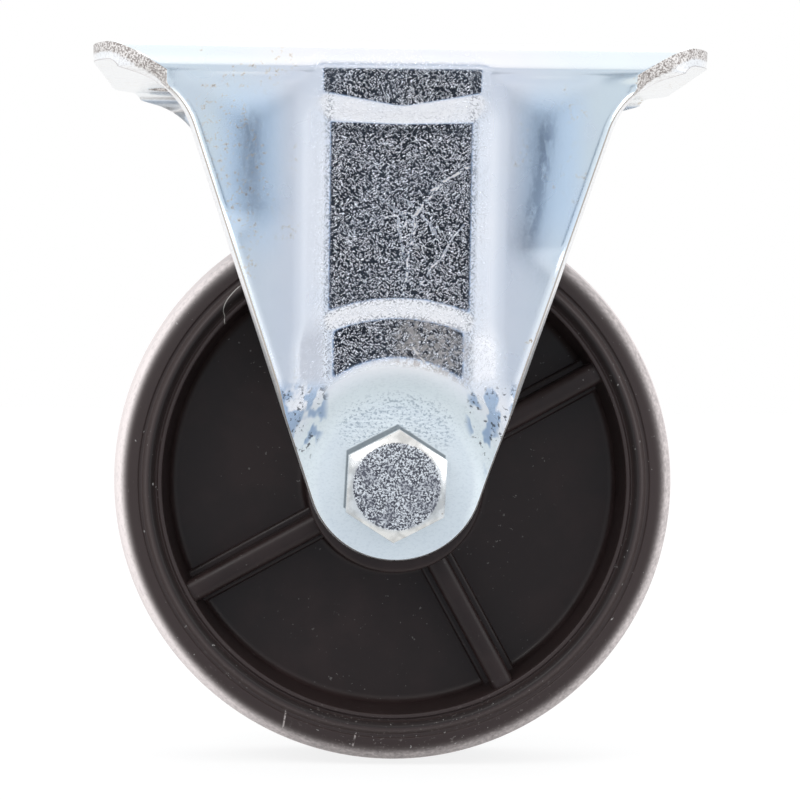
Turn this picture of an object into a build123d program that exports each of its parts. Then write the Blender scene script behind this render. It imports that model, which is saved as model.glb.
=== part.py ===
"""Fixed castor with a pressed steel bracket and a moulded wheel, in millimetres.

The origin is the centre of the plate's top face and +Z points up. The wheel rolls along X
and turns about an axle that runs along Y.
"""
from build123d import *
from math import atan, cos, radians, sin, tan
import os

os.makedirs("parts", exist_ok=True)

# Overall sizes
total_height = 125.0
wheel_diameter = 100.0
wheel_width = 33.0

# Plate of the bracket
plate_length = 105.0
plate_width = 85.0
sheet = 3.0
plate_corner = 13.0
bend_radius = 5.0
slot_width = 9.0
slot_length = 12.0
slot_end_margin = 6.5
slot_bend_margin = 3.0

# Axle pieces
thread_diameter = 10.0
tube_clearance = 0.1
tube_length = 45.0
tube_wall = 2.4
eye_hole_clearance = 0.3
head_flats = 17.0
head_height = 6.4
head_face_share = 0.893
head_lean = 2.6
nut_flats = 17.0
nut_hex_height = 6.6
nut_height = 10.0
nut_collar_diameter = 15.4
nut_crimp = 0.5
nut_mouth_diameter = 11.5
ring_height = 2.4
ring_wall = 1.4
thread_clearance = 0.03
bolt_end = 2.6
bolt_end_chamfer = 1.0
hex_chamfer_angle = 30.0

# Outline of a leg, seen along the axle
eye_radius = 15.4
eye_rise = 2.0
flank_angle = 18.3
flare_radius = 14.0
tip_clearance = 0.1
tip_angle = 15.8

# Relief of a leg: leaning flanks, a recessed panel on two levels and a flat eye
shoulder = bend_radius + 1.0
flank_rise = 4.7
flank_dish = 0.05
lip_width = 3.0
lip_rise = 1.7
lip_depth = 20.0
panel_half_width = 12.8
panel_wall = 3.5
panel_depth = 2.2
panel_top = 13.4
panel_step_side = 5.4
panel_step_middle = 2.7
arch_radius = 31.0
arch_band = 3.4
arch_step = 2.0
boss_radius = 20.0
boss_flat_radius = 15.6
boss_step = 3.9

# Wheel
bore_clearance = 0.08
bore_chamfer = 0.6
hub_diameter = 31.0
hub_end_gap = 0.5
hub_edge = 0.8
web_thickness = 11.0
pocket_draft = 1.2
pocket_bevel = 1.1
spoke_count = 4
spoke_angle = 29.0
spoke_width = 4.0
spoke_below_lip = 0.9
spoke_base_width = 6.4
spoke_base_height = 1.2
lip_land = 0.5
groove_depth = 0.7
groove_width = 0.8
bead_width = 2.0
bead_height = 0.7
valley_width = 1.2
tread_shoulder = 3.6
tread_crown = 0.9
shoulder_steps = 2

half_length = plate_length / 2
half_width = plate_width / 2
bolt_pitch_x = 2 * (half_length - slot_end_margin - slot_length / 2)
bolt_pitch_y = 2 * (half_width - bend_radius - slot_bend_margin - slot_width / 2)
axle_z = wheel_diameter / 2 - total_height
eye_face = tube_length / 2 + sheet
thread_radius = thread_diameter / 2
tube_bore_radius = thread_radius + tube_clearance
tube_radius = tube_bore_radius + tube_wall
margin = 4.0

# Slope of a leg between the plate's bend and the eye
lean_slope = (half_width - eye_face - flank_rise) / (-axle_z - shoulder)
lean = atan(lean_slope)

axle = Axis((0, 0, axle_z), (0, 1, 0))
axle_profile = Plane(origin=(0, 0, axle_z), x_dir=(0, 1, 0), z_dir=(1, 0, 0))


def flank_x(z):
    """Half width of a leg's straight flanks at height z."""
    angle = radians(flank_angle)
    return eye_radius / cos(angle) + (z - axle_z - eye_rise) * tan(angle)


def crest_y(z):
    """Distance from the castor's middle to a leg's outer face beside the panel at height z."""
    return half_width + (z + shoulder) * lean_slope


def leaning_plane(depth, inset):
    """Plane below the crest of a leg by a depth, parallel to it and facing outwards."""
    return Plane(
        origin=(0, -half_width + depth + inset, -shoulder),
        x_dir=(1, 0, 0),
        z_dir=(0, -cos(lean), -sin(lean)),
    )


def along(z):
    """Distance up a leaning plane that belongs to height z."""
    return (z + shoulder) / cos(lean)


def flank_section(z, rise, inset):
    """Corners of a leg's form at height z, where rise is the share of its dish and lip."""
    edge = flank_x(z)
    lip = edge - lip_width
    kink = min(panel_half_width + panel_wall, lip - lip_width / 2)
    crest = crest_y(z)
    dished = crest + flank_dish * (lip - kink) * rise
    tip = min(dished + lip_rise * rise, half_width)
    side = half_length + margin + inset
    right = [(kink, crest), (lip, dished), (edge, tip), (side, tip), (side, 0)]
    left = [(-x, y) for x, y in reversed(right)]
    return [(x, inset - y) for x, y in right + left]


def recess(depth, wall, top, step_side, step_middle, inset):
    """Tapered recess in a leg: its floor lies at depth and its walls are wall wide there."""
    reach = half_width / 4
    bottom = along(axle_z)
    widen = reach / depth
    with BuildPart() as tool:
        for height, out in ((0, 0), (reach, widen)):
            x = panel_half_width + wall * out
            side = along(top) + step_side * out
            middle = along(top) + step_middle * out
            with BuildSketch(leaning_plane(depth, inset).offset(height)):
                Polygon((-x, bottom), (x, bottom), (x, side), (0, middle), (-x, side), align=None)
        loft(ruled=True)
    return tool.part


def arch_cone(inner, outer, rise, floor, inset):
    """Cone about the axle, inner wide at distance floor from the middle, outer wide at floor + rise."""
    reach = half_width / 2
    slope = (outer - inner) / rise
    with BuildPart() as cone:
        with BuildSketch(axle_profile):
            Polygon(
                (inset - floor, 0), (inset - floor, inner),
                (inset - floor - reach, inner + slope * reach), (inset - floor - reach, 0), align=None,
            )
        revolve(axis=axle)
    return cone.part


def leg_form(inset):
    """Solid with one face of the pressed sheet as its skin, the outer one at inset 0."""
    bottom = axle_z - eye_radius - margin - inset
    upper = recess(panel_depth, panel_wall, -panel_top, panel_step_side, panel_step_middle, inset)
    lower_depth = panel_depth + arch_step
    lower = recess(lower_depth, panel_wall, -panel_top, panel_step_side, panel_step_middle, inset)
    arch_floor = crest_y(axle_z + arch_radius - arch_band) - lower_depth
    arch = arch_cone(arch_radius - arch_band, arch_radius, arch_step, arch_floor, inset)
    eye = arch_cone(boss_flat_radius, boss_radius, boss_step, eye_face, inset)
    with BuildPart() as form:
        for z, rise in ((-shoulder, 0), (-lip_depth, 1), (bottom, 1)):
            with BuildSketch(Plane.XY.offset(z)):
                Polygon(*flank_section(z, rise, inset), align=None)
        loft(ruled=True)
        with BuildSketch(Plane.YZ) as block:
            Polygon(
                (inset, -shoulder), (inset - half_width, -shoulder),
                (inset - half_width, -inset), (inset, -inset), align=None,
            )
            bend = block.vertices().group_by(Axis.Y)[-1].sort_by(Axis.X)[0]
            fillet(bend, bend_radius - inset)
        extrude(amount=half_length + margin + inset, both=True)
        add(upper, mode=Mode.SUBTRACT)
        add(lower & arch, mode=Mode.SUBTRACT)
        add(eye, mode=Mode.SUBTRACT)
    return form.part


outer_form = leg_form(0)
inner_form = leg_form(sheet)

with BuildPart() as bracket:
    add(outer_form)
    add(inner_form, mode=Mode.SUBTRACT)

    # Outline of the leg: round eye, straight flanks and a flare out to the plate's tips
    with BuildSketch(Plane.XZ) as outline:
        angle = radians(flank_angle)
        eye_z = axle_z + eye_rise
        tip_drop = sheet + tip_clearance
        rise = tan(radians(tip_angle))
        corner_x = flank_x(-tip_drop - rise * half_length) / (1 - rise * tan(angle))
        tip_edge = (half_length - corner_x) / cos(radians(tip_angle))
        widest = tip_edge / tan(radians(90 - flank_angle - tip_angle) / 2)
        with BuildLine():
            Polyline(
                (0, eye_z),
                (eye_radius * cos(angle), eye_z - eye_radius * sin(angle)),
                (corner_x, -tip_drop - rise * (half_length - corner_x)),
                (half_length, -tip_drop),
                (half_length, 0),
                (0, 0),
                close=True,
            )
        make_face()
        corner = outline.vertices().sort_by_distance((corner_x, -tip_drop - rise * (half_length - corner_x)))[0]
        fillet(corner, min(flare_radius, widest * 0.9))
        mirror(about=Plane.YZ)
        with Locations((0, eye_z)):
            Circle(eye_radius)
    extrude(amount=plate_width, both=True, mode=Mode.INTERSECT)
    with BuildSketch(Plane.XY.offset(margin)):
        RectangleRounded(plate_length, plate_width, plate_corner)
    extrude(amount=-total_height, mode=Mode.INTERSECT)
    mirror(about=Plane.XZ)

    # Bolt slots in the plate and the axle's holes in the eyes
    with BuildSketch():
        with GridLocations(bolt_pitch_x, bolt_pitch_y, 2, 2):
            SlotOverall(slot_length, slot_width)
    extrude(amount=-2 * sheet, mode=Mode.SUBTRACT)
    with BuildSketch(Plane(origin=(0, 0, axle_z), x_dir=(1, 0, 0), z_dir=(0, -1, 0))):
        Circle(thread_radius + eye_hole_clearance)
    extrude(amount=plate_width, both=True, mode=Mode.SUBTRACT)

with BuildPart() as wheel:
    side = wheel_width / 2 - bead_height
    hub_radius = hub_diameter / 2
    hub_half = tube_length / 2 - hub_end_gap
    web_half = web_thickness / 2
    tread_radius = wheel_diameter / 2
    tread_start = tread_radius - tread_crown - tread_shoulder
    bead_end = tread_start - valley_width
    bead_start = bead_end - bead_width
    groove_edge = bead_start - groove_width
    pocket_radius = groove_edge - lip_land
    pocket_floor = pocket_radius - pocket_draft
    turns = [radians(90 * step / shoulder_steps) for step in range(shoulder_steps + 1)]
    rounding = [
        (side - tread_shoulder * (1 - cos(turn)), tread_start + tread_shoulder * sin(turn)) for turn in turns
    ]
    with BuildSketch(axle_profile) as section:
        with BuildLine():
            Polyline(
                (0, tread_radius),
                (0, tube_radius + bore_clearance),
                (hub_half, tube_radius + bore_clearance),
                (hub_half, hub_radius),
                (web_half, hub_radius),
                (web_half, pocket_floor),
                (side, pocket_radius),
                (side, groove_edge),
                (side - groove_depth, groove_edge + groove_width / 2),
                (side + bead_height, bead_start + bead_width / 3),
                (side + bead_height, bead_end - bead_width / 3),
                (side, bead_end),
                *rounding,
                close=True,
            )
        make_face()
        chamfer(section.vertices().sort_by_distance((web_half, hub_radius))[0], pocket_bevel)
        chamfer(section.vertices().sort_by_distance((hub_half, hub_radius))[0], hub_edge)
        chamfer(section.vertices().sort_by_distance((hub_half, tube_radius))[0], bore_chamfer)
        mirror(about=Plane.YZ)
    revolve(axis=axle)

    # Spokes on both sides of the web: a bevelled bar on a low, wider base
    for index in range(spoke_count):
        turn = radians(spoke_angle + index * 360 / spoke_count)
        outwards = (cos(turn), 0, sin(turn))
        start = [(hub_radius - hub_edge) * value for value in outwards]
        cross = Plane(origin=(start[0], 0, axle_z + start[2]), x_dir=(0, 1, 0), z_dir=outwards)
        with BuildSketch(cross):
            bar = Rectangle(2 * (side - spoke_below_lip), spoke_width)
            chamfer(bar.vertices(), spoke_width * 0.3)
            Rectangle(web_thickness + 2 * spoke_base_height, spoke_base_width)
        extrude(amount=pocket_radius + lip_land / 2 - hub_radius + hub_edge)

with BuildPart() as axle_tube:
    with BuildSketch(Plane(origin=(0, -tube_length / 2, axle_z), x_dir=(1, 0, 0), z_dir=(0, 1, 0))):
        Circle(tube_radius)
        Circle(tube_bore_radius, mode=Mode.SUBTRACT)
    extrude(amount=tube_length)

head_plane = Plane(origin=(0, -eye_face, axle_z), x_dir=(1, 0, 0), z_dir=(0, -1, 0))
nut_plane = Plane(origin=(0, eye_face, axle_z), x_dir=(-1, 0, 0), z_dir=(0, 1, 0))
hex_slope = tan(radians(hex_chamfer_angle))

with BuildPart() as axle_bolt:
    with BuildSketch(head_plane):
        RegularPolygon(head_flats / 2, 6, major_radius=False, rotation=30 - head_lean)
    extrude(amount=head_height)
    with BuildSketch(axle_profile):
        face = head_face_share * head_flats / 2
        Polygon(
            (-eye_face, 0), (-eye_face, head_flats),
            (-eye_face - head_height + (head_flats - face) * hex_slope, head_flats),
            (-eye_face - head_height, face), (-eye_face - head_height, 0), align=None,
        )
    revolve(axis=axle, mode=Mode.INTERSECT)
    with BuildSketch(head_plane):
        Circle(thread_radius)
    shank_length = 2 * eye_face + nut_height + bolt_end
    extrude(amount=-shank_length)
    chamfer(axle_bolt.edges().group_by(Axis.Y)[-1], bolt_end_chamfer)

groove_start = eye_face + nut_height - nut_crimp - ring_height

with BuildPart() as lock_nut:
    with BuildSketch(nut_plane):
        RegularPolygon(nut_flats / 2, 6, major_radius=False, rotation=30)
    extrude(amount=nut_hex_height)
    with BuildSketch(axle_profile):
        low = eye_face + (nut_flats - nut_flats / 2) * hex_slope
        Polygon(
            (eye_face, 0), (eye_face, nut_flats / 2), (low, nut_flats),
            (eye_face + nut_hex_height - low + eye_face, nut_flats),
            (eye_face + nut_hex_height, nut_flats / 2), (eye_face + nut_hex_height, 0), align=None,
        )
    revolve(axis=axle, mode=Mode.INTERSECT)
    with BuildSketch(nut_plane):
        Circle(nut_collar_diameter / 2)
    extrude(amount=nut_height)
    chamfer(lock_nut.edges().group_by(Axis.Y)[-1], nut_collar_diameter / 2 - thread_radius - ring_wall)
    with BuildSketch(nut_plane):
        Circle(thread_radius + thread_clearance)
    extrude(amount=nut_height, mode=Mode.SUBTRACT)
    with BuildSketch(axle_profile):
        Polygon(
            (groove_start, 0), (groove_start, thread_radius + ring_wall),
            (groove_start + ring_height, thread_radius + ring_wall),
            (groove_start + ring_height, nut_mouth_diameter / 2),
            (eye_face + nut_height, nut_mouth_diameter / 2), (eye_face + nut_height, 0), align=None,
        )
    revolve(axis=axle, mode=Mode.SUBTRACT)

with BuildPart() as lock_nut_ring:
    with BuildSketch(axle_profile):
        inner = thread_radius + thread_clearance
        outer = thread_radius + ring_wall - thread_clearance
        Polygon(
            (groove_start, inner), (groove_start, outer),
            (groove_start + ring_height, outer), (groove_start + ring_height, inner), align=None,
        )
    revolve(axis=axle)

for name, piece in (
    ("bracket", bracket),
    ("wheel", wheel),
    ("axle_tube", axle_tube),
    ("axle_bolt", axle_bolt),
    ("lock_nut", lock_nut),
    ("lock_nut_ring", lock_nut_ring),
):
    piece.part.label = name
    export_step(piece.part, f"parts/{name}.step")
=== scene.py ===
"""Looks of a fixed castor with a pressed zinc-plated bracket and a moulded wheel.

Sizes are in millimetres in the dataclasses and in metres in the meshes. The origin is the
centre of the plate's top face, +Z points up, the wheel rolls along X and its axle lies along Y.
"""
import logging
from dataclasses import dataclass
from enum import Enum
from math import cos, pi, radians, sin, sqrt, tan
from typing import Any, Callable, Optional, Sequence, Union

import bmesh
import bpy
import numpy as np
from mathutils import Matrix, Vector


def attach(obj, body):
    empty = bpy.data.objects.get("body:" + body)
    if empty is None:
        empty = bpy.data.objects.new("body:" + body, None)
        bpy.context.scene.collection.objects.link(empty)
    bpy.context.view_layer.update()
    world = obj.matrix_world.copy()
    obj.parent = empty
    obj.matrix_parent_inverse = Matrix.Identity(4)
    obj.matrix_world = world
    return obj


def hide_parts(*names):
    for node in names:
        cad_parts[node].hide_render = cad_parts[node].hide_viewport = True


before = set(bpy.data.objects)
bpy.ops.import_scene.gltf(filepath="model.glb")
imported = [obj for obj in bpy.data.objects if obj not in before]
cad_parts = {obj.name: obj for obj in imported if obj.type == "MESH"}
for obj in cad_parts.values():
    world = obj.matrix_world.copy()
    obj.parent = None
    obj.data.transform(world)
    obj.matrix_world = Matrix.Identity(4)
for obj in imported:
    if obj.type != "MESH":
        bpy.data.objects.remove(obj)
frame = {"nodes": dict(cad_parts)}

MM = 0.001

# Sizes in millimetres and degrees that several pieces share
AXLE_Z = -75.0
EYE_FACE = 25.5
HEAD_LEAN = 2.6
CHAMFER_SLOPE = tan(radians(30))

log = logging.getLogger("castor")

Colour = tuple[float, float, float, float]
Profile = list[tuple[float, float]]
Stroke = tuple[float, float, float, float, float]
Number = Union[float, "Wire"]


def colour(red: float, green: float, blue: float) -> Colour:
    """Returns an opaque linear colour."""
    return (red, green, blue, 1.0)


# Node helpers


class Wire:
    """Output socket of a node tree, whose operators add Math nodes."""

    def __init__(self, bench: "Bench", socket: bpy.types.NodeSocket) -> None:
        """Keeps the socket and the bench that adds nodes to its tree.

        Args:
            bench: bench of the tree that the socket is in.
            socket: output socket to wrap.
        """
        self.bench = bench
        self.socket = socket

    def maths(self, operation: str, *others: Number, clamp: bool = False) -> "Wire":
        """Adds a Math node with this wire as its first value.

        Args:
            operation: the Math node's operation.
            others: further values or wires.
            clamp: whether the result is held between 0 and 1.

        Returns:
            The node's output.
        """
        return self.bench.maths(operation, self, *others, clamp=clamp)

    def __add__(self, other: Number) -> "Wire":
        """Returns the sum."""
        return self.maths("ADD", other)

    def __radd__(self, other: Number) -> "Wire":
        """Returns the sum, with this wire second."""
        return self.maths("ADD", other)

    def __sub__(self, other: Number) -> "Wire":
        """Returns the difference."""
        return self.maths("SUBTRACT", other)

    def __rsub__(self, other: Number) -> "Wire":
        """Returns the difference, with this wire second."""
        return self.bench.maths("SUBTRACT", other, self)

    def __mul__(self, other: Number) -> "Wire":
        """Returns the product."""
        return self.maths("MULTIPLY", other)

    def __truediv__(self, other: Number) -> "Wire":
        """Returns the quotient."""
        return self.maths("DIVIDE", other)

    def __pow__(self, other: Number) -> "Wire":
        """Returns the power."""
        return self.maths("POWER", other)

    def __abs__(self) -> "Wire":
        """Returns the absolute value."""
        return self.maths("ABSOLUTE")

    def least(self, other: Number) -> "Wire":
        """Returns the smaller value."""
        return self.maths("MINIMUM", other)

    def most(self, other: Number) -> "Wire":
        """Returns the larger value."""
        return self.maths("MAXIMUM", other)

    def clamped(self) -> "Wire":
        """Returns the value held between 0 and 1."""
        return self.maths("ADD", 0.0, clamp=True)

    def ramp(self, low: float, high: float) -> "Wire":
        """Rises softly from 0 to 1, or falls where low is the larger.

        Args:
            low: value at which the result is 0.
            high: value at which the result is 1.

        Returns:
            The smoothed share.
        """
        start, end, first, last = (low, high, 0.0, 1.0) if low < high else (high, low, 1.0, 0.0)
        return self.bench.node(
            "ShaderNodeMapRange",
            {"interpolation_type": "SMOOTHSTEP", "clamp": True},
            {"Value": self, "From Min": start, "From Max": end, "To Min": first, "To Max": last},
        )


class Bench:
    """Adds nodes to one node tree."""

    def __init__(self, tree: bpy.types.NodeTree) -> None:
        """Keeps the tree.

        Args:
            tree: node tree of a material, the world or a modifier.
        """
        self.tree = tree

    def node(
        self,
        kind: str,
        settings: Optional[dict[str, Any]] = None,
        inputs: Optional[dict[Union[int, str], Any]] = None,
        output: Union[int, str] = 0,
    ) -> Wire:
        """Adds a node, sets it up and then fills its sockets.

        Args:
            kind: the node's type.
            settings: the node's own settings; "stops" holds a ramp's positions and colours.
            inputs: values or wires by socket name or index.
            output: name or index of the output to return.

        Returns:
            The chosen output.
        """
        made = self.tree.nodes.new(kind)
        for name, value in (settings or {}).items():
            if name == "stops":
                self._set_stops(made.color_ramp, value)
            else:
                setattr(made, name, value)
        for name, value in (inputs or {}).items():
            if isinstance(value, (list, tuple)) and value and isinstance(value[0], Wire):
                for wire in reversed(value):
                    self.tree.links.new(wire.socket, made.inputs[name])
            elif isinstance(value, Wire):
                self.tree.links.new(value.socket, made.inputs[name])
            else:
                made.inputs[name].default_value = value
        outputs = made.outputs
        return Wire(self, outputs[output] if len(outputs) else None)

    @staticmethod
    def _set_stops(ramp: bpy.types.ColorRamp, stops: Sequence[tuple[float, Colour]]) -> None:
        """Gives a ramp its stops.

        Args:
            ramp: the ramp of a Color Ramp node.
            stops: positions and colours in rising order.
        """
        while len(ramp.elements) > 1:
            ramp.elements.remove(ramp.elements[-1])
        ramp.elements[0].position, ramp.elements[0].color = stops[0]
        for position, shade in stops[1:]:
            ramp.elements.new(position).color = shade

    def maths(self, operation: str, *values: Number, clamp: bool = False) -> Wire:
        """Adds a Math node.

        Args:
            operation: the node's operation.
            values: its values or wires in order.
            clamp: whether the result is held between 0 and 1.

        Returns:
            The node's output.
        """
        settings = {"operation": operation, "use_clamp": clamp}
        return self.node("ShaderNodeMath", settings, dict(enumerate(values)))

    def mix(self, share: Number, first: Union[Colour, Wire], second: Union[Colour, Wire]) -> Wire:
        """Mixes two colours.

        Args:
            share: share of the second colour.
            first: colour at share 0.
            second: colour at share 1.

        Returns:
            The mixed colour.
        """
        return self.node("ShaderNodeMix", {"data_type": "RGBA"}, {0: share, 6: first, 7: second}, 2)

    def noise(
        self, place: Wire, pitch: float, detail: float = 2.0, rough: float = 0.5, bend: float = 0.0
    ) -> Wire:
        """Adds a noise pattern.

        Args:
            place: coordinates in metres.
            pitch: size of its cells in millimetres.
            detail: number of finer layers.
            rough: strength of the finer layers.
            bend: distortion.

        Returns:
            The pattern's value, around 0.5.
        """
        values = {"Vector": place, "Scale": 1000 / pitch, "Detail": detail}
        values |= {"Roughness": rough, "Distortion": bend}
        return self.node("ShaderNodeTexNoise", {"noise_dimensions": "3D"}, values, "Fac")

    def place(self) -> Wire:
        """Returns the Object coordinates."""
        return self.node("ShaderNodeTexCoord", None, None, "Object")

    def shifted(
        self, place: Wire, offset: tuple[float, float, float], scale: tuple[float, float, float]
    ) -> Wire:
        """Moves and stretches coordinates.

        Args:
            place: coordinates to change.
            offset: shift in metres.
            scale: stretch along each axis.

        Returns:
            The changed coordinates.
        """
        values = {"Vector": place, "Location": offset, "Scale": scale}
        return self.node("ShaderNodeMapping", {"vector_type": "POINT"}, values)

    def split(self, vector: Wire) -> tuple[Wire, Wire, Wire]:
        """Splits a vector into its three numbers.

        Args:
            vector: vector to split.

        Returns:
            The X, Y and Z parts.
        """
        first = self.node("ShaderNodeSeparateXYZ", None, {0: vector})
        outputs = first.socket.node.outputs
        return first, Wire(self, outputs[1]), Wire(self, outputs[2])

    def bump(self, height: Wire, depth: float) -> Wire:
        """Turns a height into a normal.

        Args:
            height: height between 0 and 1.
            depth: depth in millimetres that a height of 1 stands for.

        Returns:
            The bent normal.
        """
        return self.node("ShaderNodeBump", None, {"Height": height, "Distance": depth * MM, "Strength": 1.0})


def new_material(name: str) -> tuple[bpy.types.Material, Bench]:
    """Makes an empty node material.

    Args:
        name: the material's name.

    Returns:
        The material and the bench of its tree.
    """
    material = bpy.data.materials.new(name)
    material.use_nodes = True
    material.node_tree.nodes.clear()
    return material, Bench(material.node_tree)


def finish_material(bench: Bench, surface: dict[str, Any]) -> None:
    """Ends a material in one Principled BSDF.

    Args:
        bench: bench of the material's tree.
        surface: values or wires by the shader's socket names.
    """
    shader = bench.node("ShaderNodeBsdfPrincipled", None, surface)
    bench.node("ShaderNodeOutputMaterial", None, {"Surface": shader})


# Finishes


@dataclass(frozen=True)
class SheetPlaces:
    """Wires that say where a point of the pressed sheet is, with distances in millimetres."""

    bench: Bench
    place: Wire
    x: Wire
    y: Wire
    z: Wire
    across: Wire
    level: Wire
    height: Wire
    radius: Wire
    side: Wire
    cut: Wire
    through: Wire
    inner: Wire
    front: Wire
    eye: Wire


def find_places(bench: Bench, axle_z: float) -> SheetPlaces:
    """Finds where a point of the pressed sheet is.

    Args:
        bench: bench of the material's tree.
        axle_z: height of the axle.

    Returns:
        The wires: across and side along the castor, level from the plate, height and radius
        from the axle, cut and through from the mesh's attributes, and the shares of the
        sheet's inner side, of the bolt's leg and of the eye.
    """
    place = bench.place()
    x, y, z = bench.split(place)
    across, level = x / MM, z / MM
    height = level - axle_z
    radius = (across * across + height * height) ** 0.5
    cut = bench.node("ShaderNodeAttribute", {"attribute_name": "cut"}, None, "Fac")
    through = bench.node("ShaderNodeAttribute", {"attribute_name": "across"}, None, "Fac")
    inner = through.ramp(0.4, 0.6) * (1 - cut)
    front = (y / MM).ramp(0.0, -10.0) * (1 - inner)
    eye = radius.ramp(22.0, 17.0)
    return SheetPlaces(
        bench, place, x, y, z, across, level, height, radius, abs(across), cut, through, inner, front, eye
    )


@dataclass(frozen=True)
class PressedZinc:
    """Zinc plating on the pressed sheet: pale, blue, with a fine orange peel."""

    name: str = "plated_sheet"
    axle_z: float = AXLE_Z
    head_lean: float = HEAD_LEAN
    # Centre of the painted shade band round the bolt's head
    shade_band_centre: tuple[float, float] = (-0.22, 0.62)
    peel_pitch: float = 0.36
    peel_depth: float = 0.045
    peel_squash: float = 0.42
    wave_pitch: float = 5.0
    strokes: tuple[Stroke, ...] = (
        (4.4, -25.0, 11.6, -20.2, 0.9),
        (0.2, -31.2, 7.4, -22.6, 0.7),
        (2.2, -28.0, -4.6, -29.6, 0.6),
        (-0.6, -28.0, 0.9, -36.2, 0.5),
        (2.9, -27.2, 0.6, -42.6, 0.7),
        (3.4, -40.6, 10.6, -30.2, 0.6),
        (1.4, -26.4, 6.6, -32.4, 0.5),
        (-6.2, -24.0, 2.6, -30.2, 0.4),
        (2.0, -50.4, 6.4, -55.2, 1.0),
    )

    def dark_flank_reflections(self, at: SheetPlaces) -> Wire:
        """Finds the painted reflection: dark streaks down the two flanks.

        Args:
            at: where each point of the sheet is.

        Returns:
            The painted reflections' mask.
        """
        bench, across, level = at.bench, at.across, at.level
        ragged = bench.noise(bench.shifted(at.place, (0.0, 0.0, 0.0), (1.6, 1.0, 0.5)), 2.0, 3.0, 0.6)
        waver = (ragged - 0.5) * 3.0
        right = abs(across - level * 0.137 - 26.6 + waver).ramp(1.9, 0.4)
        right = right * level.ramp(-37.0, -27.0) * level.ramp(-9.0, -17.0)
        left = abs(across + 25.0 + waver).ramp(1.9, 0.4)
        left = left * level.ramp(-29.0, -21.0) * level.ramp(-9.0, -14.0)
        return (right * 0.55 + left * 0.25) * ragged.ramp(0.36, 0.52)

    def tint(self, at: SheetPlaces, cloud: Wire) -> Wire:
        """Paints the plating: lavender beside the panel, teal further out, with slow clouds, and painted
        blue and dark reflections on the flanks.

        Args:
            at: where each point of the sheet is.
            cloud: the slow clouds.

        Returns:
            The plating's colour without specks or dirt, paler on the sheet's inner side.
        """
        bench, level, side = at.bench, at.level, at.side
        zinc = bench.mix(side.ramp(16.0, 34.0), colour(0.84, 0.85, 0.90), colour(0.80, 0.87, 0.90))
        zinc = bench.mix(cloud.ramp(0.42, 0.66) * 0.3, zinc, colour(0.76, 0.80, 0.88))
        zinc = bench.mix(at.eye, zinc, colour(0.86, 0.91, 0.93))
        # Painted reflection: a pale blue band down each flank
        blue_flank_reflection = abs(side - 25.5).ramp(7.5, 2.0) * level.ramp(-40.0, -26.0) * level.ramp(-5.0, -12.0)
        zinc = bench.mix(blue_flank_reflection * 0.8, zinc, colour(0.70, 0.84, 0.99))
        # Painted reflection: dark streaks on the flanks
        zinc = bench.mix(self.dark_flank_reflections(at), zinc, colour(0.30, 0.38, 0.50))
        zinc = bench.mix(level.ramp(-0.25, -0.05), zinc, colour(0.68, 0.74, 0.80))
        return bench.mix(at.inner, zinc, colour(0.95, 0.96, 0.97))

    def specks(self, at: SheetPlaces, base: Wire) -> Wire:
        """Adds cream and brown specks on the flanks and near the left tip.

        Args:
            at: where each point of the sheet is.
            base: colour so far.

        Returns:
            The colour with the specks.
        """
        bench = at.bench
        patch = (((at.across + 33.0) / 5.0) ** 2.0 + ((at.level + 12.5) / 5.5) ** 2.0).ramp(1.1, 0.2)
        flanks = bench.noise(at.place, 9.0, 1.0).ramp(0.50, 0.64) * at.side.ramp(16.0, 20.0)
        near = (flanks + patch).clamped()
        speck = bench.noise(at.place, 0.9, 3.0, 0.65)
        base = bench.mix(speck.ramp(0.56, 0.64) * near * 0.7, base, colour(0.80, 0.74, 0.66))
        return bench.mix(speck.ramp(0.66, 0.70) * near * 0.55, base, colour(0.32, 0.24, 0.18))

    def mottle(self, at: SheetPlaces, base: Wire, crown: Wire) -> Wire:
        """Paints hammered mottle over the eye, darkest over the bolt's head as painted shade and reflection
        of the head, and painted blue and dark reflections at the flanks' ends.

        Args:
            at: where each point of the sheet is.
            base: colour so far.
            crown: part of the eye over the bolt's head, where the mottle is strongest as painted shade and
                reflection of the head.

        Returns:
            The colour with the mottle.
        """
        bench, radius, height = at.bench, at.radius, at.height
        hammered = bench.shifted(at.place, (0.01, 0.0, 0.02), (0.75, 1.0, 1.15))
        dents = bench.noise(hammered, 0.44, 2.0, 0.6, 0.5).ramp(0.50, 0.62)
        # Hammered dents, darkened over the bolt's head as painted shade and reflection of the head
        base = bench.mix(dents * (at.eye * 0.09 + crown * 0.50).clamped(), base, colour(0.30, 0.37, 0.43))
        # Painted reflections at the flanks' ends: blue pools and dark flecks
        ends = at.side.ramp(11.5, 13.0) * radius.ramp(15.0, 16.5)
        ends = ends * height.ramp(0.0, 3.0) * height.ramp(19.0, 15.0) * (1 - at.inner)
        upright = bench.shifted(at.place, (0.05, 0.0, 0.03), (1.0, 1.0, 0.6))
        blue_end_reflection = bench.noise(upright, 3.2, 2.0, 0.55).ramp(0.47, 0.56)
        base = bench.mix(ends * blue_end_reflection * 0.85, base, colour(0.34, 0.46, 0.64))
        dark_end_reflection = bench.noise(at.place, 0.8, 2.0, 0.6).ramp(0.56, 0.62)
        dark_end_reflection = dark_end_reflection * bench.noise(at.place, 2.6, 1.0).ramp(0.48, 0.56)
        return bench.mix(ends * dark_end_reflection * 0.85, base, colour(0.09, 0.10, 0.12))

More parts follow.
